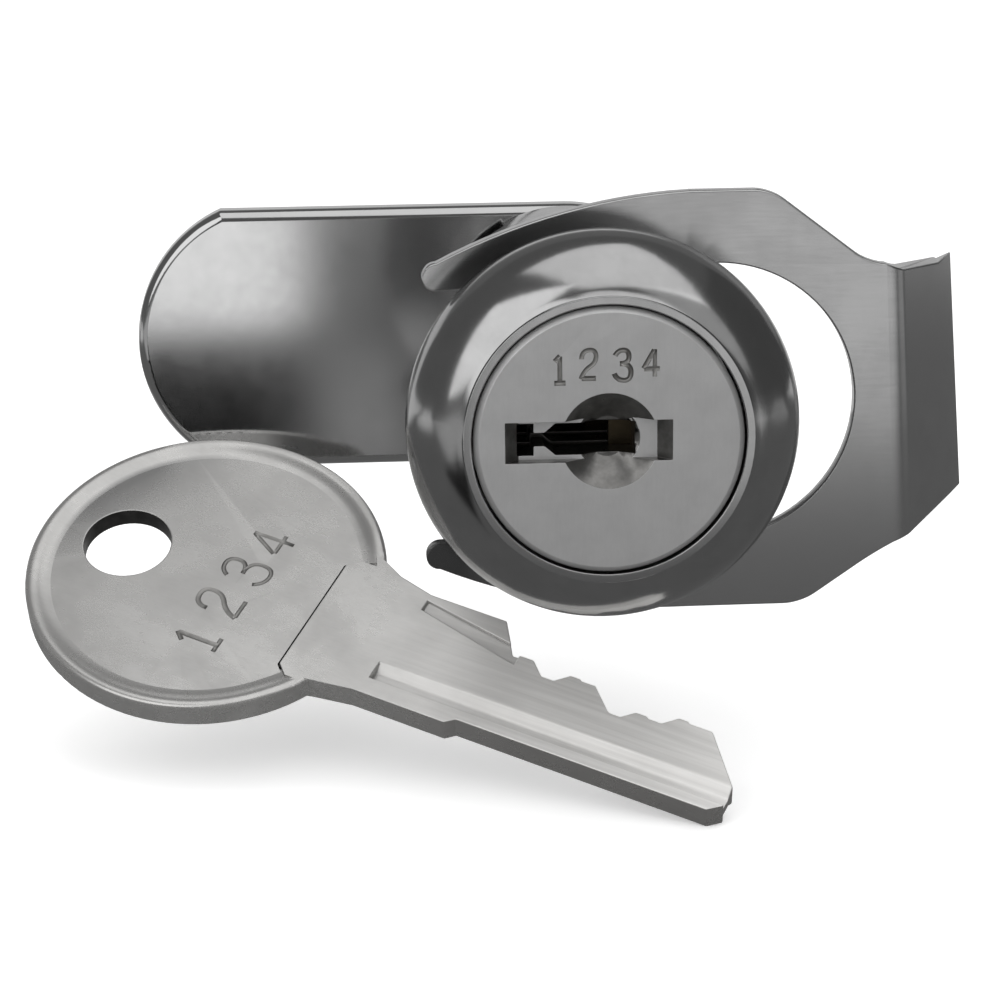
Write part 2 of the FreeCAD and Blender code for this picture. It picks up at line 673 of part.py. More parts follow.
def lock_washer(doc):
    """A washer with teeth around its edge, which bite under the nut."""
    body = new_body(doc, "lock_washer")
    plate = new_sketch(body, "XZ", "lock_washer_outline", "-lock_washer_y")
    round_hole(plate, "0", "0", "lock_washer_dia")
    round_hole(plate, "0", "0", "tail_dia + 2 * tail_play")
    lift(body, "lock_washer_plate", plate, "lock_washer_thick")
    gap = new_sketch(body, "XZ", "tooth_gap_section", "-lock_washer_y")
    box_outline(gap, "-tooth_gap / 2", "tooth_gap / 2",
                "lock_washer_dia / 2 - tooth_depth", "lock_washer_dia")
    first_gap = cut(body, "tooth_gap", gap, "lock_washer_thick")
    doc.recompute()
    ring = body.newObject("PartDesign::PolarPattern", "tooth_gaps")
    ring.Originals = [first_gap]
    ring.Axis = (origin_part(body, "Y_Axis"), [""])
    ring.Angle = 360
    bind(ring, "Occurrences", "tooth_count")
    body.Tip = ring
    return body


def cam_nut(doc):
    """A hexagon nut with its corners chamfered on the outer side."""
    body = new_body(doc, "cam_nut")
    hexagon = new_sketch(body, "XZ", "nut_hexagon", "-nut_y")
    reach = "nut_flats / 2 / cos(30 * 1deg)"
    outline(hexagon, [(f"{reach} * cos({60 * side} * 1deg)", f"{reach} * sin({60 * side} * 1deg)")
                      for side in range(6)])
    round_hole(hexagon, "0", "0", "tail_dia + 2 * tail_play")
    lift(body, "nut_block", hexagon, "nut_thick")
    corners = new_sketch(body, "XY", "nut_corner_profile")
    crown = "nut_flats / 2"
    back = "(nut_y + nut_thick)"
    outline(corners, [
        (crown, back),
        (f"{crown} + 2 * nut_chamfer", f"{back} - nut_chamfer"),
        (f"{crown} + 2 * nut_chamfer", back),
    ])
    spin(body, "nut_corners_cut", corners, "PartDesign::Groove")
    return body


def mounting_clip(doc):
    """Sheet-metal horseshoe: flat with a round hole, leaning legs and a folded lip."""
    body = new_body(doc, "mounting_clip")
    section = new_sketch(body, "XY", "clip_section", "-clip_height / 2")
    lean = "(clip_leg_angle * 1deg)"
    fold = "(lip_angle * 1deg)"
    outline(section, [
        ("clip_shift - clip_leg_end", "tip_y"),
        ("clip_shift - clip_crease", "clip_front"),
        ("clip_shift + clip_fold", "clip_front"),
        ("clip_shift + lip_x", "lip_y"),
        (f"clip_shift + lip_x - clip_thick * sin({fold})", f"lip_y + clip_thick * cos({fold})"),
        (f"clip_shift + clip_fold - clip_thick * tan({fold} / 2)", "clip_front + clip_thick"),
        (f"clip_shift - clip_crease - clip_thick * tan({lean} / 2)", "clip_front + clip_thick"),
        (f"clip_shift - clip_leg_end - clip_thick * sin({lean})",
         f"tip_y + clip_thick * cos({lean})"),
    ])
    lift(body, "clip_sheet", section, "clip_height", backwards=False)

    fold_x = worth(section, "clip_shift + clip_fold")
    front = worth(section, "clip_front")
    inner_x = worth(section, "clip_shift + clip_fold - clip_thick * tan(lip_angle * 0.5deg)")
    inner_y = worth(section, "clip_front + clip_thick")
    dress(doc, body, "fold_outside", "Fillet", "fold_radius + clip_thick",
          lambda edge: stands_at(edge, fold_x, front))
    dress(doc, body, "fold_inside", "Fillet", "fold_radius",
          lambda edge: stands_at(edge, inner_x, inner_y))

    window = new_sketch(body, "XZ", "clip_outline")
    edge = "clip_height"
    frame_left = "clip_shift - 2 * clip_leg_end"
    frame_right = "clip_shift + 2 * clip_leg_end"
    box_outline(window, frame_left, frame_right, f"-{edge}", edge)
    slot = "(clip_slot / 2)"
    tip = "(clip_tip / 2)"
    leg_start = f"clip_shift - clip_leg_end + {tip}"
    outline(window, [
        (leg_start, f"-({slot} + 2 * {tip})", "clip_leg_curve", "left"),
        ("clip_shift - clip_crease", "-clip_height / 2"),
        ("clip_shift + clip_shoulder", "-clip_height / 2"),
        ("clip_shift + clip_corner", "-clip_corner_height / 2"),
        ("clip_shift + clip_fold", "-clip_fold_height / 2"),
        ("clip_shift + lip_x - lip_corner", "-lip_height / 2"),
        ("clip_shift + lip_x", "lip_corner - lip_height / 2"),
        ("clip_shift + lip_x", "lip_height / 2 - lip_corner"),
        ("clip_shift + lip_x - lip_corner", "lip_height / 2"),
        ("clip_shift + clip_fold", "clip_fold_height / 2"),
        ("clip_shift + clip_corner", "clip_corner_height / 2"),
        ("clip_shift + clip_shoulder", "clip_height / 2"),
        ("clip_shift - clip_crease", "clip_height / 2", "clip_leg_curve", "left"),
        (leg_start, f"{slot} + 2 * {tip}", tip, "left"),
        ("clip_shift - clip_leg_end", f"{slot} + {tip}", tip, "left"),
        (leg_start, slot),
        ("clip_shift - leg_mouth", slot, "clip_hole_dia / 2", "right_long"),
        ("clip_shift - leg_mouth", f"-{slot}"),
        (leg_start, f"-{slot}", tip, "left"),
        ("clip_shift - clip_leg_end", f"-({slot} + {tip})", tip, "left"),
    ])
    cut_both_ways(body, "clip_outline_cut", window, "4 * clip_height")
    return body


def stands_at(edge, x, y):
    """An edge that runs along Z at this place."""
    return len(edge.Vertexes) == 2 and all(near(v.X, x) and near(v.Y, y) for v in edge.Vertexes)


def cut_x(number):
    return f"(cut_first + ({number} - 1) * cut_pitch)"


def bitting(sketch):
    """The key's cut edge from the tip back to the shoulder, with worn ridges between the cuts."""
    last = len(CUTS)
    corners = [("blade_end - tip_top", f"cut_{last}")]
    for number in range(last, 1, -1):
        start = f"({cut_x(number)} - cut_flat / 2)"
        end = f"({cut_x(number - 1)} + cut_flat / 2)"
        # the 45 degree flanks of two cuts meet in a peak, which wear takes down to a ridge
        peak = f"((cut_pitch - cut_flat + cut_{number} + cut_{number - 1}) / 2)"
        ridge = f"(max(cut_{number}; cut_{number - 1}) + cut_ridge)"
        corners.append((start, f"cut_{number}"))
        if worth(sketch, peak) > worth(sketch, ridge):
            corners.append((f"{start} - {ridge} + cut_{number}", ridge))
            corners.append((f"{end} + {ridge} - cut_{number - 1}", ridge))
        else:
            corners.append((f"{start} - {peak} + cut_{number}", peak))
        corners.append((end, f"cut_{number - 1}"))
    corners.append((f"{cut_x(1)} - cut_flat / 2", "cut_1"))
    return corners


def key(doc):
    """A flat key with a coined bow, milled sides and five cuts, leaning on the cam."""
    body = new_body(doc, "key")
    bow = "(key_bow_dia / 2)"
    blank = new_sketch(body, "XY", "key_outline", "-key_thick")
    top = "(neck_top + neck_flare)"
    low = "(neck_bottom + neck_flare / 3)"
    outline(blank, [
        (f"sqrt({bow} ^ 2 - {top} ^ 2)", top, bow, "left_long"),
        (f"sqrt({bow} ^ 2 - {low} ^ 2)", f"-{low}"),
        ("neck_narrow - neck_flare", "-neck_bottom"),
        ("shoulder_place", "-neck_bottom"),
        ("shoulder_place + heel_slope", "-blade_bottom"),
        ("blade_end - tip_bottom", "-blade_bottom"),
        ("blade_end", "-tip_low"),
        ("blade_end", "-tip_high"),
        *bitting(blank),
        (f"{cut_x(1)} - cut_flat / 2 - (blade_top - cut_1)", "blade_top"),
        ("shoulder_place + shoulder_slope", "blade_top"),
        ("shoulder_place", "neck_top"),
        ("neck_narrow", "neck_top"),
        ("neck_narrow - 2 * neck_flare", "neck_top + neck_flare / 2"),
    ])
    round_hole(blank, "-bow_hole_place", "0", "bow_hole_dia")
    lift(body, "key_blank", blank, "key_thick", backwards=False)

    bow_r = worth(blank, bow)
    dress(doc, body, "bow_rounded", "Fillet", "bow_edge",
          lambda edge: is_round(edge, bow_r))
    coined_face(body, "coined_top", "0", backwards=False)
    coined_face(body, "coined_bottom", "-key_thick", backwards=True)

    mill = new_sketch(body, "YZ", "mill_section", "mill_start")
    foot = "(mill_low - blade_bottom)"
    for face, side in (("0", "-"), ("-key_thick", "")):
        floor = f"{face} {side or '+'} mill_depth"
        outline(mill, [
            (foot, face),
            (foot, floor),
            (f"{foot} + mill_width - mill_slope", floor),
            (f"{foot} + mill_width", face),
        ])
    cut(body, "mill_cut", mill, "blade_end - mill_start", backwards=True)

    hollow = new_sketch(body, "XY", "hollow_outline")
    outline(hollow, [
        ("neck_narrow", "neck_top - hollow_margin"),
        ("neck_narrow", "neck_top - hollow_margin - hollow_width"),
        ("shoulder_place + shoulder_slope + hollow_run", "blade_top - hollow_width"),
        ("shoulder_place + shoulder_slope + hollow_run", "blade_top + hollow_run"),
    ])
    cut(body, "hollow_cut", hollow, "hollow_depth")
    put_at(body, "key_x", "key_y", "key_z", "key_heading", "key_dip", "key_roll")
    return body


def is_round(edge, radius):
    """A circular edge of this radius."""
    return hasattr(edge.Curve, "Radius") and near(edge.Curve.Radius, radius)


def coined_face(body, name, height, backwards):
    """Sink the bow's face inside its rim, up to the raised neck's shield."""
    face = new_sketch(body, "XY", f"{name}_outline", height)
    inner = "(key_bow_dia / 2 - bow_rim)"
    top = "(neck_top + shield_margin)"
    low = "(neck_bottom + shield_margin)"
    outline(face, [
        (f"sqrt({inner} ^ 2 - {top} ^ 2)", top, inner, "left_long"),
        (f"sqrt({inner} ^ 2 - {low} ^ 2)", f"-{low}"),
        ("shield_place + shield_cut", f"-{low}"),
        ("shield_place", f"shield_cut - {low}"),
        ("shield_place", f"{top} - shield_cut"),
        ("shield_place + shield_cut", top),
    ])
    cut(body, f"{name}_cut", face, "bow_sink", backwards=backwards)


def main():
    """Make every piece, check it and write it as a STEP file under its own name."""
    doc = FreeCAD.newDocument("enclosure_lock")
    make_sheet(doc)
    pieces = [lock_housing(doc), plug(doc)]
    for number in range(1, len(CUTS) + 1):
        pieces.append(wafer(doc, number))
        pieces.append(coil_spring(doc, f"wafer_spring_{number}", wafer_place(number)))
    pieces.append(retainer_wafer(doc))
    pieces.append(coil_spring(doc, "retainer_spring", "retainer_place"))
    pieces.append(stop_washer(doc))
    pieces.append(cam(doc))
    pieces.append(lock_washer(doc))
    pieces.append(cam_nut(doc))
    pieces.append(mounting_clip(doc))
    pieces.append(key(doc))
    doc.recompute()
    for thing in doc.Objects:
        if "Invalid" in thing.State or "Error" in thing.State:
            raise RuntimeError(f"{thing.Label}: {thing.getStatusString()}")
    os.makedirs("parts", exist_ok=True)
    for piece in pieces:
        shape = piece.Shape
        if shape.isNull() or not shape.isValid() or len(shape.Solids) != 1:
            raise RuntimeError(f"{piece.Label} isn't one sound solid")
        shape.exportStep(f"parts/{piece.Label}.step")


main()
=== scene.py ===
import math

import bmesh
import bpy
from mathutils import Euler, Matrix, Vector


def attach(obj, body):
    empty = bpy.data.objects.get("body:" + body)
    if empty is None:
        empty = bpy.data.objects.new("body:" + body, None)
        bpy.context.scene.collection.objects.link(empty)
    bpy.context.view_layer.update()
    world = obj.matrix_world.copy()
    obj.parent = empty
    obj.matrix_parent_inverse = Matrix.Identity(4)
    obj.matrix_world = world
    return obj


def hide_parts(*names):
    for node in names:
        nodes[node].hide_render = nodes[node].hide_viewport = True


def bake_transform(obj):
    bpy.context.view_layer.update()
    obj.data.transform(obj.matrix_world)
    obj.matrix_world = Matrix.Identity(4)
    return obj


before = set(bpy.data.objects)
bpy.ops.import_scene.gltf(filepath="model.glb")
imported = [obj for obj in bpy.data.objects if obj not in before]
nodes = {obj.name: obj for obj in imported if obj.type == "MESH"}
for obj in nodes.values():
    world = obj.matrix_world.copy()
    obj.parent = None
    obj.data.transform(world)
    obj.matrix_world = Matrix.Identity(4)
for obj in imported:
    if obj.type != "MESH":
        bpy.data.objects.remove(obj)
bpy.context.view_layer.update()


# ---- Head and body ----
# One zinc die casting with a domed head, a stepped lip around the plug and a flatted body.
# It is polished, then nickel plated, so the dome mirrors the room and the body is a little duller.

WELD = 2e-6
ONE_FACE = math.radians(0.05)
HARD_EDGE = math.radians(32)
SHARP_SHADING = math.radians(50)


def in_mm(*values):
    return tuple(value / 1000 for value in values)


def soft_edged(name, node, edge_mm, body, reshape=None):
    """The CAD solid's own faces, joined up and with every hard edge rounded a little. A reshape
    function may move corners first."""
    mesh = nodes[node].data.copy()
    mesh.name = name
    mesh.materials.clear()
    for extra in ("custom_normal", "sharp_edge", "sharp_face"):
        if extra in mesh.attributes:
            mesh.attributes.remove(mesh.attributes[extra])
    faces = bmesh.new()
    faces.from_mesh(mesh)
    bmesh.ops.remove_doubles(faces, verts=faces.verts, dist=WELD)
    bmesh.ops.dissolve_limit(faces, angle_limit=ONE_FACE, verts=faces.verts, edges=faces.edges)
    if reshape:
        reshape(faces)
    weights = faces.edges.layers.float.new("bevel_weight_edge")
    for edge in faces.edges:
        if is_hard(edge):
            edge[weights] = room_beside(edge, edge_mm / 1000) / (edge_mm / 1000)
    faces.to_mesh(mesh)
    faces.free()
    piece = bpy.data.objects.new(name, mesh)
    bpy.context.scene.collection.objects.link(piece)
    rounding = piece.modifiers.new("edge_rounding", "BEVEL")
    rounding.width = edge_mm / 1000
    rounding.segments = 2
    rounding.limit_method = "WEIGHT"
    rounding.use_clamp_overlap = False
    settle(piece)
    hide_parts(node)
    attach(piece, body)
    return piece


def is_hard(edge):
    return len(edge.link_faces) == 2 and edge.calc_face_angle() > HARD_EDGE


def room_beside(edge, wanted):
    """How wide a rounding fits: a third of each face beside the edge, and of a short side edge."""
    start, end = (corner.co for corner in edge.verts)
    along = (end - start).normalized()
    room = wanted
    for side in edge.link_faces:
        reach = max((corner.co - start).cross(along).length for corner in side.verts)
        room = min(room, reach / 3)
    for corner in edge.verts:
        for other in corner.link_edges:
            way = (other.verts[1].co - other.verts[0].co).normalized()
            if other is not edge and way.cross(along).length > 0.5:
                room = min(room, other.calc_length() / 3)
    return room


def settle(piece):
    """Apply the piece's modifiers, then shade it smooth with its flat faces kept flat."""
    made = as_seen(piece)
    made.polygons.foreach_set("use_smooth", [True] * len(made.polygons))
    made.set_sharp_from_angle(angle=SHARP_SHADING)
    faces = bmesh.new()
    faces.from_mesh(made)
    for edge in faces.edges:
        if len({face.material_index for face in edge.link_faces}) == 2:
            edge.smooth = False
    faces.to_mesh(made)
    faces.free()
    piece.modifiers.clear()
    piece.data = made
    flats = piece.modifiers.new("flat_faces", "WEIGHTED_NORMAL")
    flats.mode = "FACE_AREA"
    flats.keep_sharp = True
    finished = as_seen(piece)
    piece.modifiers.clear()
    piece.data = finished


def as_seen(piece):
    """The piece's mesh with its modifiers applied."""
    bpy.context.view_layer.update()
    seen = piece.evaluated_get(bpy.context.evaluated_depsgraph_get())
    return bpy.data.meshes.new_from_object(seen)


def group_socket(group, way, name, kind, value=None):
    socket = group.interface.new_socket(name=name, in_out=way, socket_type=kind)
    if value is not None:
        socket.default_value = value


def wired(tree, kind, inputs=None, **settings):
    """A node with its settings, and its inputs set or linked by name or number."""
    node = tree.nodes.new(kind)
    for key, value in settings.items():
        setattr(node, key, value)
    for key, value in (inputs or {}).items():
        if isinstance(value, bpy.types.NodeSocket):
            tree.links.new(value, node.inputs[key])
        else:
            node.inputs[key].default_value = value
    return node


def maths(tree, operation, first, second=0.5):
    return wired(tree, "ShaderNodeMath", {0: first, 1: second}, operation=operation).outputs[0]


def product(tree, first, *others):
    for other in others:
        first = maths(tree, "MULTIPLY", first, other)
    return first


def spread(tree, value, low, high, to_low=0.0, to_high=1.0):
    """The value, stretched from one range to another."""
    node = wired(tree, "ShaderNodeMapRange", {"Value": value, "From Min": low, "From Max": high,
                                              "To Min": to_low, "To Max": to_high})
    return node.outputs["Result"]


def mixed(tree, share, first, second):
    node = wired(tree, "ShaderNodeMix", data_type="RGBA")
    for key, value in ((0, share), (6, first), (7, second)):
        if isinstance(value, bpy.types.NodeSocket):
            tree.links.new(value, node.inputs[key])
        else:
            node.inputs[key].default_value = value
    return node.outputs[2]


def grey(level, warmth=0.0):
    """A metal's tint: neutral, or a little towards yellow."""
    return (level * (1 + 0.5 * warmth), level, level * (1 - warmth), 1)


# Metal surfaces share one group: cloudy patches of tarnish, fine drawn or ground lines, small
# dents, brighter edges from wear and painted shade darkening concave spots, all laid out in
# millimetres on the piece itself.
plated = bpy.data.node_groups.new("plated_surface", "ShaderNodeTree")
group_socket(plated, "INPUT", "Turned", "NodeSocketVector", (0, 0, 0))
group_socket(plated, "INPUT", "Line Stretch", "NodeSocketVector", (1, 1, 1))
group_socket(plated, "INPUT", "Patch Size", "NodeSocketFloat", 3.0)
group_socket(plated, "INPUT", "Bright", "NodeSocketColor", (0.6, 0.6, 0.6, 1))
group_socket(plated, "INPUT", "Dull", "NodeSocketColor", (0.4, 0.4, 0.4, 1))
group_socket(plated, "INPUT", "Smoothest", "NodeSocketFloat", 0.2)
group_socket(plated, "INPUT", "Roughest", "NodeSocketFloat", 0.4)
group_socket(plated, "INPUT", "Line Depth", "NodeSocketFloat", 0.3)
group_socket(plated, "INPUT", "Wear", "NodeSocketFloat", 0.3)
group_socket(plated, "OUTPUT", "Color", "NodeSocketColor")
group_socket(plated, "OUTPUT", "Roughness", "NodeSocketFloat")
group_socket(plated, "OUTPUT", "Height", "NodeSocketFloat")
entry = plated.nodes.new("NodeGroupInput")
place = wired(plated, "ShaderNodeTexCoord").outputs["Object"]
turned = wired(plated, "ShaderNodeMapping", {"Vector": place, "Rotation": entry.outputs["Turned"],
                                             "Scale": (1000, 1000, 1000)}, vector_type="POINT")
turned = turned.outputs["Vector"]
patch = wired(plated, "ShaderNodeTexNoise", {"Vector": turned, "Detail": 3.0, "Roughness": 0.55,
                                             "Scale": maths(plated, "DIVIDE", 1.0,
                                                            entry.outputs["Patch Size"])})
patch = spread(plated, patch.outputs[0], 0.36, 0.64)
stretched = wired(plated, "ShaderNodeVectorMath", {0: turned, 1: entry.outputs["Line Stretch"]},
                  operation="MULTIPLY").outputs[0]
lines = wired(plated, "ShaderNodeTexNoise", {"Vector": stretched, "Scale": 1.0, "Detail": 4.0,
                                             "Roughness": 0.65}).outputs[0]
lines = maths(plated, "MULTIPLY_ADD", lines, 1.8)
lines.node.inputs[2].default_value = -0.4
dents = wired(plated, "ShaderNodeTexVoronoi", {"Vector": turned, "Scale": 0.35, "Randomness": 1.0},
              feature="SMOOTH_F1").outputs["Distance"]
dents = spread(plated, dents, 0.05, 0.5)
pointed = wired(plated, "ShaderNodeNewGeometry").outputs["Pointiness"]
edge_wear_and_painted_sheen = spread(plated, pointed, 0.52, 0.6)
# painted shade: concave spots are darkened
painted_cavity_shade = spread(plated, pointed, 0.48, 0.42)
edge_wear_and_painted_sheen = maths(plated, "MULTIPLY", edge_wear_and_painted_sheen, entry.outputs["Wear"])
tone = maths(plated, "ADD", maths(plated, "MULTIPLY", patch, 0.5),
             maths(plated, "MULTIPLY", lines, 0.3))
tone = maths(plated, "ADD", maths(plated, "ADD", tone, 0.1), edge_wear_and_painted_sheen)
tone = maths(plated, "SUBTRACT", tone, maths(plated, "MULTIPLY", painted_cavity_shade, 0.8))
colour = mixed(plated, tone, entry.outputs["Dull"], entry.outputs["Bright"])
rough = maths(plated, "ADD", maths(plated, "MULTIPLY", patch, -0.4),
              maths(plated, "MULTIPLY", lines, -0.4))
rough = spread(plated, rough, -0.9, 0.1, entry.outputs["Smoothest"], entry.outputs["Roughest"])
height = maths(plated, "MULTIPLY", lines, entry.outputs["Line Depth"])
height = maths(plated, "ADD", height, maths(plated, "MULTIPLY", dents, 0.15))
wired(plated, "NodeGroupOutput", {"Color": colour, "Roughness": rough, "Height": height})


def metal(name, bright, dull, smooth, rough, stretch, turned=(0, 0, 0), patch=3.0, depth=0.3,
          wear=0.3, bump_mm=0.004, metallic=1.0):
    """A plated metal: the shared surface group under a Principled shader."""
    material = bpy.data.materials.new(name)
    material.use_nodes = True
    tree = material.node_tree
    shader = tree.nodes["Principled BSDF"]
    shader.inputs["Metallic"].default_value = metallic
    surface = wired(tree, "ShaderNodeGroup", node_tree=plated)
    for key, value in (("Turned", turned), ("Line Stretch", stretch), ("Patch Size", patch),
                       ("Bright", bright), ("Dull", dull), ("Smoothest", smooth),
                       ("Roughest", rough), ("Line Depth", depth), ("Wear", wear)):
        surface.inputs[key].default_value = value
    tree.links.new(surface.outputs["Color"], shader.inputs["Base Color"])
    tree.links.new(surface.outputs["Roughness"], shader.inputs["Roughness"])
    bump = wired(tree, "ShaderNodeBump", {"Height": surface.outputs["Height"], "Strength": 0.6,
                                          "Distance": bump_mm / 1000})
    tree.links.new(bump.outputs["Normal"], shader.inputs["Normal"])
    return material


polished = metal("polished_nickel", grey(0.54), grey(0.46), 0.12, 0.2, (0.5, 0.5, 0.5),
                 patch=2.5, depth=0.1, wear=0.2, bump_mm=0.002)
head = soft_edged("head_and_body", "lock_housing", 0.09, "housing")
head.data.materials.append(polished)


# ---- Plug ----
# Turned brass core with the key's recess, the cone around its mouth and a stamped number.
# Its face is satin nickel, ground in one direction before plating.

satin = metal("satin_nickel", grey(0.72), grey(0.64), 0.46, 0.56, (6.0, 1.0, 0.8),
              patch=2.0, depth=0.25, wear=0.35, bump_mm=0.003, metallic=0.88)
plug = soft_edged("turning_plug", "plug", 0.05, "plug")


# Each digit is a few strokes of a round-nosed punch, in a box one high. A stroke with more
# than two points is a smooth curve.
STROKES = {
    "neck_foot": [[(10.7, 5.27), (9.6, 5.26)], [(9.62, 5.27), (8.72, 4.4)],
                  [(8.73, 4.43), (8.73, -5.53)], [(8.72, -5.5), (9.62, -6.37)],
                  [(9.6, -6.36), (10.1, -6.36)]],
    "1": [[(0.12, 0.8), (0.31, 1.0)], [(0.3, 0.98), (0.3, 0.0)], [(0.1, 0.01), (0.5, 0.01)]],
    "2": [[(0.05, 0.72), (0.05, 1.02), (0.56, 1.08), (0.58, 0.6), (0.12, 0.3), (0.03, 0.0)],
          [(0.05, 0.015), (0.56, 0.015)]],
    "3": [[(0.05, 0.85), (0.15, 1.05), (0.55, 1.05), (0.55, 0.56), (0.22, 0.55)],
          [(0.24, 0.565), (0.62, 0.56), (0.62, -0.06), (0.12, -0.05), (0.02, 0.2)]],
    "4": [[(0.42, 0.0), (0.42, 1.0)], [(0.405, 0.98), (0.02, 0.3)], [(0.04, 0.285), (0.6, 0.285)]],
}


def strike(piece, turn, places, height_mm, nose_mm, depth_mm, grime):
    """Punch digits into a face, stroke by stroke. The turn gives the face's right, up and
    outward directions, and the digits are left holding grime."""
    noses = []
    for digit, corner in places:
        for stroke in STROKES[digit]:
            # no two strokes go equally deep
            outward = turn @ Vector(in_mm(0, 0, nose_mm - depth_mm + 0.004 * len(noses)))
            line = bpy.data.curves.new("punch_line", "CURVE")
            line.dimensions = "3D"
            line.resolution_u = 5
            line.bevel_depth = nose_mm / 1000
            line.bevel_resolution = 1
            line.use_fill_caps = True
            spline = line.splines.new("NURBS")
            spline.points.add(len(stroke) - 1)
            for point, (right, up) in zip(spline.points, stroke):
                at = turn @ Vector(in_mm(right * height_mm, up * height_mm, 0))
                point.co = (*(corner + at + outward), 1)
            spline.order_u = min(3, len(stroke))
            spline.use_endpoint_u = True
            punch = bpy.data.objects.new("punch", line)
            bpy.context.scene.collection.objects.link(punch)
            nose = bpy.data.objects.new("punch_nose", as_seen(punch))
            bpy.context.scene.collection.objects.link(nose)
            bpy.data.objects.remove(punch)
            nose.data.materials.clear()
            nose.data.materials.append(grime)
            bite = piece.modifiers.new("struck", "BOOLEAN")
            bite.material_mode = "TRANSFER"
            bite.operation = "DIFFERENCE"
            bite.solver = "EXACT"
            bite.object = nose
            noses.append(nose)
    settle(piece)
    for nose in noses:
        bpy.data.objects.remove(nose)


# The cone, the recess and the keyway are cut after the face is ground. They are painted darker,
# as the shade that falls inside them.
machined = metal("machined_keyway", grey(0.36, 0.03), grey(0.16, 0.03), 0.24, 0.38, (2.0, 1.0, 2.0),
                 patch=1.2, depth=0.3, wear=0.6, bump_mm=0.004)
plug.data.materials.append(satin)
plug.data.materials.append(machined)
KEYWAY_REACH, CONE_REACH = 7.2, 3.2
PLUG_FRONT, PLUG_REAR = -5.38, 26
for face in plug.data.polygons:
    x, y, z = (value * 1000 for value in face.center)
    faces_front = face.normal.y < -0.9 and y < -4
    is_cut = math.hypot(x, z) < KEYWAY_REACH and abs(z) < CONE_REACH and PLUG_FRONT < y < PLUG_REAR
    if is_cut and not faces_front:
        face.material_index = 1

# The digits stand over the cone, punched by hand a little unevenly, and hold dirt.
grimy = metal("grimy_digits", grey(0.52, 0.03), grey(0.38, 0.03), 0.4, 0.52, (3.0, 3.0, 3.0),
              patch=1.0, depth=0.3, wear=0.3)
plug_face_turn = Matrix(((1, 0, 0), (0, 0, -1), (0, 1, 0)))
strike(plug, plug_face_turn,
       [(digit, Vector(in_mm(x, -5.4, z))) for digit, x, z in
        (("1", -3.65, 3.8), ("2", -1.85, 4.05), ("3", 0.25, 4.0), ("4", 2.1, 4.1))],
       1.75, 0.19, 0.13, grimy)


# The tail's thread is rolled: a fine ridge that climbs around its two round sides.
THREAD_PITCH = 1.0
THREAD_FROM, THREAD_TO = 30.8, 34.2
TAIL_RADIUS, TAIL_HALF_FLAT = 3.5, 2.7
THREAD_STEPS = 16
# the ridge's section: out from the tail's round, and along the thread
THREAD_SECTION = ((-0.02, -0.42), (0.045, -0.06), (0.045, 0.06), (-0.02, 0.42))


def tail_thread():
    """Ridge and root rings of the thread, cut off where the tail is flat."""
    ridge = bmesh.new()
    reach = math.asin(TAIL_HALF_FLAT / TAIL_RADIUS)
    turns = int((THREAD_TO - THREAD_FROM) / THREAD_PITCH)
    for side in (0, math.pi):
        for number in range(turns):
            rows = []
            for step in range(THREAD_STEPS + 1):
                angle = side - reach + 2 * reach * step / THREAD_STEPS
                rise = THREAD_FROM + THREAD_PITCH * (number + angle / (2 * math.pi) + 0.5)
                ring = []
                for out, shift in THREAD_SECTION:
                    radius = TAIL_RADIUS + out
                    ring.append(ridge.verts.new(in_mm(radius * math.cos(angle), rise + shift,
                                                      radius * math.sin(angle))))
                rows.append(ring)
            for one, other in zip(rows, rows[1:]):
                for low in range(len(THREAD_SECTION) - 1):
                    ridge.faces.new((one[low], one[low + 1], other[low + 1], other[low]))
            ridge.faces.new(rows[0])
            ridge.faces.new(list(reversed(rows[-1])))
    bmesh.ops.recalc_face_normals(ridge, faces=ridge.faces)
    mesh = bpy.data.meshes.new("tail_thread")
    ridge.to_mesh(mesh)
    ridge.free()
    piece = bpy.data.objects.new("tail_thread", mesh)
    bpy.context.scene.collection.objects.link(piece)
    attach(piece, "plug")
    return piece


tail_thread().data.materials.append(satin)


# ---- Wafers and their springs ----
# Plain pressed brass discs slide in the plug's slots, each pushed by a coil of drawn wire in a
# pocket beside it. The first ones show down the keyway, and the brass is painted nearly black as
# shade.

# painted shade: the wafers' brass is nearly black
brass = metal("brass_painted_dark", (0.07, 0.056, 0.036, 1), (0.03, 0.025, 0.018, 1), 0.35, 0.5,
              (1.0, 1.0, 5.0), patch=1.5, depth=0.2)
wire = metal("spring_wire", grey(0.6, 0.06), grey(0.42, 0.06), 0.2, 0.35, (2.0, 2.0, 2.0),
             patch=1.0)


def coil_spring(name, node):
    """A copy of the CAD coil in spring wire, left where it stands in the frame."""
    coil = bpy.data.objects.new(name, nodes[node].data.copy())
    bpy.context.scene.collection.objects.link(coil)
    coil.data.materials.clear()
    coil.data.materials.append(wire)
    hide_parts(node)
    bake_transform(coil)


for wafer in [f"wafer_{number}" for number in range(1, 6)] + ["retainer_wafer"]:
    nodes[wafer].data.materials.clear()
    nodes[wafer].data.materials.append(brass)
for number in range(1, 6):
    coil_spring(f"coil_spring_{number}", f"wafer_spring_{number}")
coil_spring("retainer_coil", "retainer_spring")


# ---- Cam ----
# Pressed steel plate with a rolled front edge, held on the plug's flatted tail by the nut. It is
# tumbled and nickel plated, so its reflections blur.

tumbled = metal("tumbled_nickel", grey(0.66), grey(0.6), 0.09, 0.14, (0.9, 0.9, 0.9),
                patch=6.0, depth=0.2, wear=0.3, bump_mm=0.002)
cam = soft_edged("locking_cam", "cam", 0.12, "plug")
cam.data.materials.append(tumbled)


# ---- Stop washer, lock washer and nut ----
# Bright zinc-plated steel. The stop washer's lug limits the turn, and the nut and the toothed
# washer under it clamp the cam on the tail.

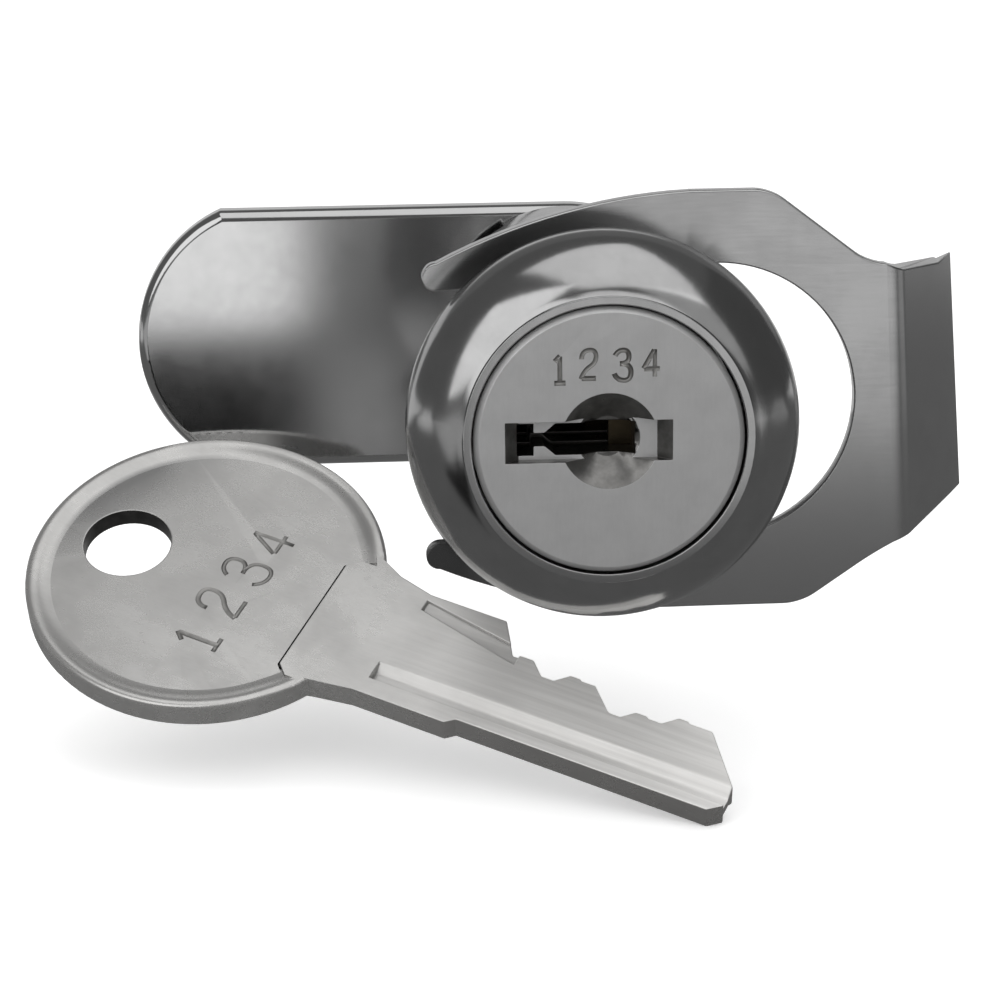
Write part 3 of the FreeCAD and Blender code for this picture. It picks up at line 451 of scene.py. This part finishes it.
zinc = metal("zinc_plate", (0.62, 0.64, 0.66, 1), (0.42, 0.44, 0.46, 1), 0.24, 0.4,
             (1.5, 1.5, 1.5), patch=2.0, depth=0.3)
for name, node in (("turn_stop", "stop_washer"), ("toothed_washer", "lock_washer"),
                   ("tail_nut", "cam_nut")):
    piece = soft_edged(name, node, 0.08, "plug")
    piece.data.materials.append(zinc)


# ---- Mounting clip ----
# Blanked and folded from 1.1 mm spring steel, and plated. It slides into the body's groove behind
# the panel, and its lip is the finger grip. The rolling lines run along the sheet.

rolled = metal("rolled_spring_steel", grey(0.64), grey(0.54), 0.18, 0.26, (0.5, 0.5, 6.0),
               patch=5.0, depth=0.3, wear=0.5, bump_mm=0.003)
# where the drawing has four corners in x and z, and where the press leaves them, rounded
CORNERS = (((12.8, 14.1), (11.6, 14.1)), ((19.3, 9.7), (18.2, 9.05)),
           ((12.8, -14.1), (13.9, -14.1)), ((19.3, -9.7), (18.7, -10.8)))
CORNER_ROUND = 1.8
FOLD_START, LIP_END_FROM, LIP_CORNER = 20.39, 23.5, 7.3


def press_shift(x, z):
    """How far the press moves the rest of the sheet, right and up: the lip comes out a little
    twisted with its top end turned up, and the fold is set in at the top and low at the bottom."""
    if x > LIP_END_FROM:
        if z > 0:
            return -0.55, 1.8 if z < LIP_CORNER else 0.2
        return 0.55, -1.2 if z > -LIP_CORNER else -0.3
    if x > FOLD_START - 0.1:
        return (-1.1, -0.3) if z > 0 else (-0.2, -0.7)
    return 0, 0


def pressed(faces):
    """Move the clip's corners as the press does, and round four of them through the sheet."""
    # the cut edges bend where the fold starts, so each gets a line across the sheet there
    for side in (-1, 1):
        bends = [corner for corner in faces.verts if corner.co.z * side > 0.008
                 and abs(corner.co.x * 1000 - FOLD_START) < 0.05]
        bmesh.ops.connect_verts(faces, verts=bends)
    round_corners = []
    for corner in faces.verts:
        x, y, z = (value * 1000 for value in corner.co)
        for (old_x, old_z), (new_x, new_z) in CORNERS:
            if math.dist((x, z), (old_x, old_z)) < 0.3:
                corner.co += Vector(in_mm(new_x - old_x, 0, new_z - old_z))
                round_corners.append(corner)
        right, up = press_shift(x, z)
        corner.co += Vector(in_mm(right, 0, up))
    through = [edge for corner in round_corners for edge in corner.link_edges
               if edge.other_vert(corner) in round_corners
               and abs(edge.verts[0].co.y - edge.verts[1].co.y) > 0.0005]
    bmesh.ops.bevel(faces, geom=list(set(through)), offset=CORNER_ROUND / 1000, segments=5,
                    profile=0.5, affect="EDGES", clamp_overlap=True)


clip = soft_edged("horseshoe_clip", "mounting_clip", 0.12, "clip", pressed)
clip.data.materials.append(rolled)

# The end of the lower leg is painted dark, a painted dark reflection on the clip.
tree = rolled.node_tree
spot = wired(tree, "ShaderNodeTexCoord").outputs["Object"]
spot = wired(tree, "ShaderNodeSeparateXYZ", {0: spot}).outputs
# painted dark reflection on the lower leg's end
painted_dark_tip = product(tree, spread(tree, spot[0], -0.002, -0.009),
               spread(tree, spot[2], -0.002, -0.005, 0, 0.85))
shader = tree.nodes["Principled BSDF"]
plain = shader.inputs["Base Color"].links[0].from_socket
tree.links.new(mixed(tree, painted_dark_tip, plain, (0.1, 0.1, 0.1, 1)), shader.inputs["Base Color"])


# ---- Key ----
# Nickel-plated brass blank with a coined bow, milled along the blade and cut for five wafers. It
# lies loose, leaning on the cam. It has been carried, so its edges are bright.

KEY_TURN = Euler((math.radians(29.5), math.radians(12.9), math.radians(-26.1)), "XYZ")
KEY_LEVEL = KEY_TURN.to_matrix().inverted().to_euler("XYZ")
# the bow's centre on the key's front face, and lengths on the key from there
key_spot = Vector(in_mm(-26.4, 16.036, -13.7))
key_turn = KEY_TURN.to_matrix()
BOW_SINK = 0.2
RIM_FOOT, NECK_FROM = 12.2, 12
RING_HOLE_PLACE, RING_HOLE_RADIUS = 6.4, 3.1

worn_key_with_painted_light = metal("worn_key_metal_with_painted_light", grey(0.7, 0.02), grey(0.56, 0.02), 0.22, 0.34, (1.2, 5.0, 3.0),
             turned=KEY_LEVEL, patch=4.0, depth=0.3, wear=0.5, bump_mm=0.0008, metallic=0.84)
caked = metal("caked_dirt", grey(0.16, 0.03), grey(0.08, 0.03), 0.4, 0.55, (3.0, 3.0, 3.0),
              patch=1.0, depth=0.3, wear=0.3)
key = soft_edged("flat_key", "key", 0.12, "key")
for finish in (worn_key_with_painted_light, grimy, caked):
    key.data.materials.append(finish)


def on_key(x, y, z):
    """A point on the key, in mm from the bow's centre, as a place in the frame."""
    return key_spot + key_turn @ Vector(in_mm(x, y, z))


# Dirt stays along the foot of the rim, in the ring's hole and at the foot of the raised neck.
for face in key.data.polygons:
    x, y, z = (value * 1000 for value in key_turn.transposed() @ (face.center - key_spot))
    lies_flat = abs(face.normal @ key_turn.col[2]) > 0.6
    if math.hypot(x, y) < RIM_FOOT and x < NECK_FROM and -BOW_SINK < z < -0.01 and not lies_flat:
        face.material_index = 1
    if math.hypot(x + RING_HOLE_PLACE, y) < RING_HOLE_RADIUS + 0.05 and not lies_flat:
        face.material_index = 2
strike(key, key_turn, [("neck_foot", on_key(0, 0, -BOW_SINK))], 1.0, 0.1, 0.09, caked)
bow_turn = key_turn @ Matrix(((0, -1, 0), (1, 0, 0), (0, 0, 1)))
strike(key, bow_turn,
       [(digit, on_key(x, y, -BOW_SINK)) for digit, x, y in
        (("1", 4.1, -6.7), ("2", 4.0, -3.2), ("3", 4.2, 0.1), ("4", 4.5, 3.3))],
       3.15, 0.23, 0.12, grimy)

# The bead's section: out from the bow's centre, and up from the key's front face.
BEAD = ((12.55, -0.3), (12.66, -0.16), (12.66, -0.04), (12.58, 0.05), (12.42, 0.115), (12.2, 0.13),
        (11.98, 0.09), (11.75, 0), (11.5, -0.09), (11.25, -0.155), (11.0, -0.19), (10.8, -0.215),
        (11.2, -0.35))
BEAD_FROM, BEAD_TURN, BEAD_STEPS = 27.5, 303.5, 152
BEAD_FOOT, BEAD_RUN_OUT, LOWEST_SHARE = -0.22, 6, 0.55


def rim_bead():
    """Coining leaves the bow's rim as a rounded bead, which sinks into the neck at both ends."""
    rows = []
    rim = bmesh.new()
    for step in range(BEAD_STEPS + 1):
        angle = math.radians(BEAD_FROM + BEAD_TURN * step / BEAD_STEPS)
        run_in = min(1, step / BEAD_RUN_OUT, (BEAD_STEPS - step) / BEAD_RUN_OUT)
        full = LOWEST_SHARE + (1 - LOWEST_SHARE) * run_in
        rows.append([rim.verts.new(on_key(radius * math.cos(angle), radius * math.sin(angle),
                                          BEAD_FOOT + full * (height - BEAD_FOOT)))
                     for radius, height in BEAD])
    for one, other in zip(rows, rows[1:]):
        for low in range(len(BEAD)):
            high = (low + 1) % len(BEAD)
            rim.faces.new((one[low], one[high], other[high], other[low]))
    rim.faces.new(rows[0])
    rim.faces.new(list(reversed(rows[-1])))
    bmesh.ops.recalc_face_normals(rim, faces=rim.faces)
    bead = bpy.data.objects.new("bow_rim_bead", bpy.data.meshes.new("bow_rim_bead"))
    rim.to_mesh(bead.data)
    rim.free()
    bpy.context.scene.collection.objects.link(bead)
    bead.data.materials.append(worn_key_with_painted_light)
    settle(bead)
    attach(bead, "key")


rim_bead()

# The blade's upward face is painted lighter, with streaks, as a painted sheen, and its thin sides
# are painted darker as shade. Beside the bow's rim, beyond the ring's hole, a patch is painted
# darker as shade.
tree = worn_key_with_painted_light.node_tree
spot = wired(tree, "ShaderNodeTexCoord").outputs["Object"]
facing = wired(tree, "ShaderNodeNewGeometry").outputs["Normal"]


def in_key(vector, axis):
    """How far a place or direction reaches along one of the key's own axes."""
    return wired(tree, "ShaderNodeVectorMath", {0: vector, 1: tuple(key_turn.col[axis])},
                 operation="DOT_PRODUCT").outputs["Value"]


bow_along, bow_across = (key_spot.dot(key_turn.col[axis]) for axis in range(2))
along, across = in_key(spot, 0), in_key(spot, 1)
on_blade = spread(tree, along, bow_along + 0.012, bow_along + 0.026)
on_face = spread(tree, in_key(facing, 2), 0.5, 0.8)
# painted sheen: the blade's upward face lighter, more diffuse and rougher
edge_wear_and_painted_sheen = product(tree, on_blade, on_face)
# painted shade: the blade's thin sides darker
painted_side_shade = product(tree, on_blade, maths(tree, "SUBTRACT", 1.0, on_face))
from_bow = wired(tree, "ShaderNodeCombineXYZ", {0: maths(tree, "SUBTRACT", along, bow_along),
                                                1: maths(tree, "SUBTRACT", across, bow_across)})
radius = wired(tree, "ShaderNodeVectorMath", {0: from_bow.outputs[0]},
               operation="LENGTH").outputs["Value"]
# painted shade: a patch beside the bow's rim, beyond the ring's hole
painted_rim_shade = product(tree, spread(tree, radius, 0.006, 0.0105),
                  spread(tree, along, bow_along - 0.001, bow_along - 0.008),
                  spread(tree, across, bow_across - 0.005, bow_across + 0.002, 0, 0.7),
                  spread(tree, radius, 0.01135, 0.011))
in_lengths = wired(tree, "ShaderNodeCombineXYZ", {0: along, 1: across, 2: in_key(spot, 2)})
in_lengths = wired(tree, "ShaderNodeVectorMath", {0: in_lengths.outputs[0], 1: (90, 2600, 1300)},
                   operation="MULTIPLY")
streaks = wired(tree, "ShaderNodeTexNoise", {"Vector": in_lengths.outputs[0], "Scale": 1.0,
                                             "Detail": 3.0}).outputs[0]
bright = mixed(tree, spread(tree, streaks, 0.35, 0.65),
               (0.84, 0.83, 0.81, 1), (0.97, 0.96, 0.94, 1))
shader = tree.nodes["Principled BSDF"]
colour = shader.inputs["Base Color"].links[0].from_socket
colour = mixed(tree, product(tree, edge_wear_and_painted_sheen, 0.9), colour, bright)
colour = mixed(tree, product(tree, painted_side_shade, 0.8), colour, (0.42, 0.41, 0.4, 1))
colour = mixed(tree, painted_rim_shade, colour, (0.25, 0.25, 0.25, 1))
tree.links.new(colour, shader.inputs["Base Color"])
tree.links.new(spread(tree, edge_wear_and_painted_sheen, 0, 1, 0.84, 0.52), shader.inputs["Metallic"])
smooth = shader.inputs["Roughness"].links[0].from_socket
tree.links.new(maths(tree, "ADD", smooth, product(tree, edge_wear_and_painted_sheen, 0.2)), shader.inputs["Roughness"])


# ---- Table ----
# A plain pale surface, which keeps the shadows, in a pale room. The key's tip rests on it, as the
# lowest point of the object.

FLOOR_Z = -0.0266
HALF_TABLE = 0.6


def plain_sheet(name, corners):
    """A flat stage piece with no thickness."""
    mesh = bpy.data.meshes.new(name)
    mesh.from_pydata([Vector(corner) for corner in corners], [], [range(len(corners))])
    sheet = bpy.data.objects.new(name, mesh)
    bpy.context.scene.collection.objects.link(sheet)
    return sheet


table = plain_sheet("table", [(HALF_TABLE * right, HALF_TABLE * back, FLOOR_Z) for right, back in
                              ((-1, -1), (1, -1), (1, 1), (-1, 1))])
pale = bpy.data.materials.new("pale_table")
pale.use_nodes = True
tree = pale.node_tree
shader = tree.nodes["Principled BSDF"]
shader.inputs["Roughness"].default_value = 0.9
shader.inputs["Specular IOR Level"].default_value = 0.1


def seen_directly(tree):
    """1 for what the camera, metal or glass shows, and 0 for light that falls on things."""
    ray = wired(tree, "ShaderNodeLightPath").outputs
    shown = maths(tree, "MAXIMUM", ray["Is Camera Ray"], ray["Is Glossy Ray"])
    return maths(tree, "MAXIMUM", shown, ray["Is Transmission Ray"])


shown = seen_directly(tree)
pale_tone = mixed(tree, shown, (0.7, 0.7, 0.7, 1), (0.9, 0.9, 0.9, 1))
tree.links.new(pale_tone, shader.inputs["Base Color"])
pale_glow = mixed(tree, shown, (0, 0, 0, 1), (0.3, 0.3, 0.3, 1))
tree.links.new(pale_glow, shader.inputs["Emission Color"])
shader.inputs["Emission Strength"].default_value = 1
table.data.materials.append(pale)

world = bpy.data.worlds.new("pale_room")
bpy.context.scene.world = world
world.use_nodes = True
tree = world.node_tree
tree.nodes.clear()
backdrop = wired(tree, "ShaderNodeBackground", {"Color": (1, 1, 1, 1), "Strength": 1.0})
fill = wired(tree, "ShaderNodeBackground", {"Color": (1, 1, 1, 1), "Strength": 0.9})
room = wired(tree, "ShaderNodeMixShader", {0: seen_directly(tree), 1: fill.outputs[0],
                                           2: backdrop.outputs[0]})
wired(tree, "ShaderNodeOutputWorld", {"Surface": room.outputs[0]})


# ---- Dark walls and floor cards ----
# A product studio is dark around its soft boxes, and polished metal shows that. The walls and
# the cards on the table are seen by reflections alone, and they cast no shadow.

def seen_in_metal_only(card, glow):
    """A stage piece that shows in reflections alone, with a glow made by a function."""
    felt = bpy.data.materials.new(card.name + "_felt")
    felt.use_nodes = True
    felt.node_tree.nodes.clear()
    light = wired(felt.node_tree, "ShaderNodeEmission", {"Strength": glow(felt.node_tree)})
    wired(felt.node_tree, "ShaderNodeOutputMaterial", {"Surface": light.outputs[0]})
    card.data.materials.append(felt)
    card.visible_camera = False
    card.visible_diffuse = False
    card.visible_shadow = False
    card.visible_transmission = False


# the cards on the table: west, east, south and north edges and the softness of the edges in mm, and
# how much brighter each is than the bare floor
FLOOR_CARDS = ((-62, -20, -260, -106, 7, 1.05), (-2, 190, -480, -92, 12, 0.55),
               (-260, -62, -260, -50, 20, 0.3), (-62, -20, -106, -30, 10, -0.12),
               (-18, -10, -92, -40, 5, 0.14), (-60, 60, 48, 500, 30, 0.45),
               (60, 500, 150, 500, 30, 0.45), (-500, -60, 110, 500, 30, 0.45),
               (165, 500, -90, 48, 30, 0.2), (-500, -165, -40, 80, 30, 0.45))
BARE_FLOOR = 0.13
ROOM = 500
CARD_SPAN, CARD_Z = 550, -26.55


def floor_glow(tree):
    """The glow of the floor with its cards, whose edges are soft."""
    spot = wired(tree, "ShaderNodeTexCoord").outputs["Object"]
    spot = wired(tree, "ShaderNodeSeparateXYZ", {0: spot}).outputs
    level = BARE_FLOOR
    for west, east, south, north, soft, light in FLOOR_CARDS:
        inside = []
        for axis, low, high in ((0, west, east), (1, south, north)):
            for edge, way in ((low, 1), (high, -1)):
                start, stop = (edge - way * soft / 2) / 1000, (edge + way * soft / 2) / 1000
                step = wired(tree, "ShaderNodeMapRange", {"Value": spot[axis], 1: start, 2: stop},
                             interpolation_type="SMOOTHSTEP")
                inside.append(step.outputs[0])
        level = maths(tree, "ADD", level, product(tree, *inside, light))
    return level


def wall(name, level, start_mm, end_mm, low_mm=-27, high_mm=ROOM):
    """An upright card between two points of the table."""
    (west, south), (east, north) = start_mm, end_mm
    card = plain_sheet(name, [in_mm(*corner) for corner in (
        (west, south, low_mm), (east, north, low_mm),
        (east, north, high_mm), (west, south, high_mm))])
    seen_in_metal_only(card, lambda tree: level)


floor = plain_sheet("floor_cards", [in_mm(CARD_SPAN * right, CARD_SPAN * back, CARD_Z)
                                    for right, back in ((-1, -1), (1, -1), (1, 1), (-1, 1))])
seen_in_metal_only(floor, floor_glow)
LIT_WALL_TOP = 190
wall("front_wall", 0.1, (-ROOM, -ROOM), (ROOM, -ROOM))
wall("left_wall", 0.12, (-ROOM, -ROOM), (-ROOM, ROOM))
wall("right_wall", 0.08, (ROOM, -ROOM), (ROOM, ROOM))
wall("back_wall", 0.55, (-ROOM, ROOM), (ROOM, ROOM), high_mm=LIT_WALL_TOP)
wall("back_wall_top", 0.16, (-ROOM, ROOM), (ROOM, ROOM), low_mm=LIT_WALL_TOP)
ceiling = plain_sheet("ceiling", [in_mm(ROOM * right, ROOM * back, ROOM)
                                  for right, back in ((-1, -1), (1, -1), (1, 1), (-1, 1))])
seen_in_metal_only(ceiling, lambda tree: 0.12)


# ---- Lamps ----
# Soft boxes of a product studio: a wide one overhead, one at the left and a small one at the
# right. Each is as bright as the metal shows it.

def soft_box(name, at_mm, size_mm, brightness):
    lamp = bpy.data.lights.new(name, "AREA")
    lamp.shape = "RECTANGLE"
    lamp.size, lamp.size_y = in_mm(*size_mm)
    lamp.energy = brightness * math.pi * lamp.size * lamp.size_y
    box = bpy.data.objects.new(name, lamp)
    bpy.context.scene.collection.objects.link(box)
    box.location = in_mm(*at_mm)
    box.rotation_euler = (-box.location).to_track_quat("-Z", "Y").to_euler()
    return box


soft_box("overhead_box", (35, -75, 250), (260, 380), 0.8)
soft_box("left_box", (-167, -214, 127), (245, 245), 1.05)
soft_box("right_box", (163, -225, 112), (160, 190), 0.35)


# ---- Camera ----
# In front, a little to the left and above, as the photograph was taken, at the distance that the
# sizes of the head, the cam and the clip gave.

lens = bpy.data.cameras.new("camera")
lens.sensor_width = 36
lens.lens = 111.517
camera = bpy.data.objects.new("camera", lens)
bpy.context.scene.collection.objects.link(camera)
camera.matrix_world = Matrix(((0.998012, 0.025923, -0.057441, -0.0181755),
                              (-0.062148, 0.253747, -0.965272, -0.1939301),
                              (-0.010448, 0.966923, 0.254853, 0.0461466),
                              (0, 0, 0, 1)))
bpy.context.scene.camera = camera
bpy.context.scene.view_settings.view_transform = "Standard"

bpy.context.view_layer.update()
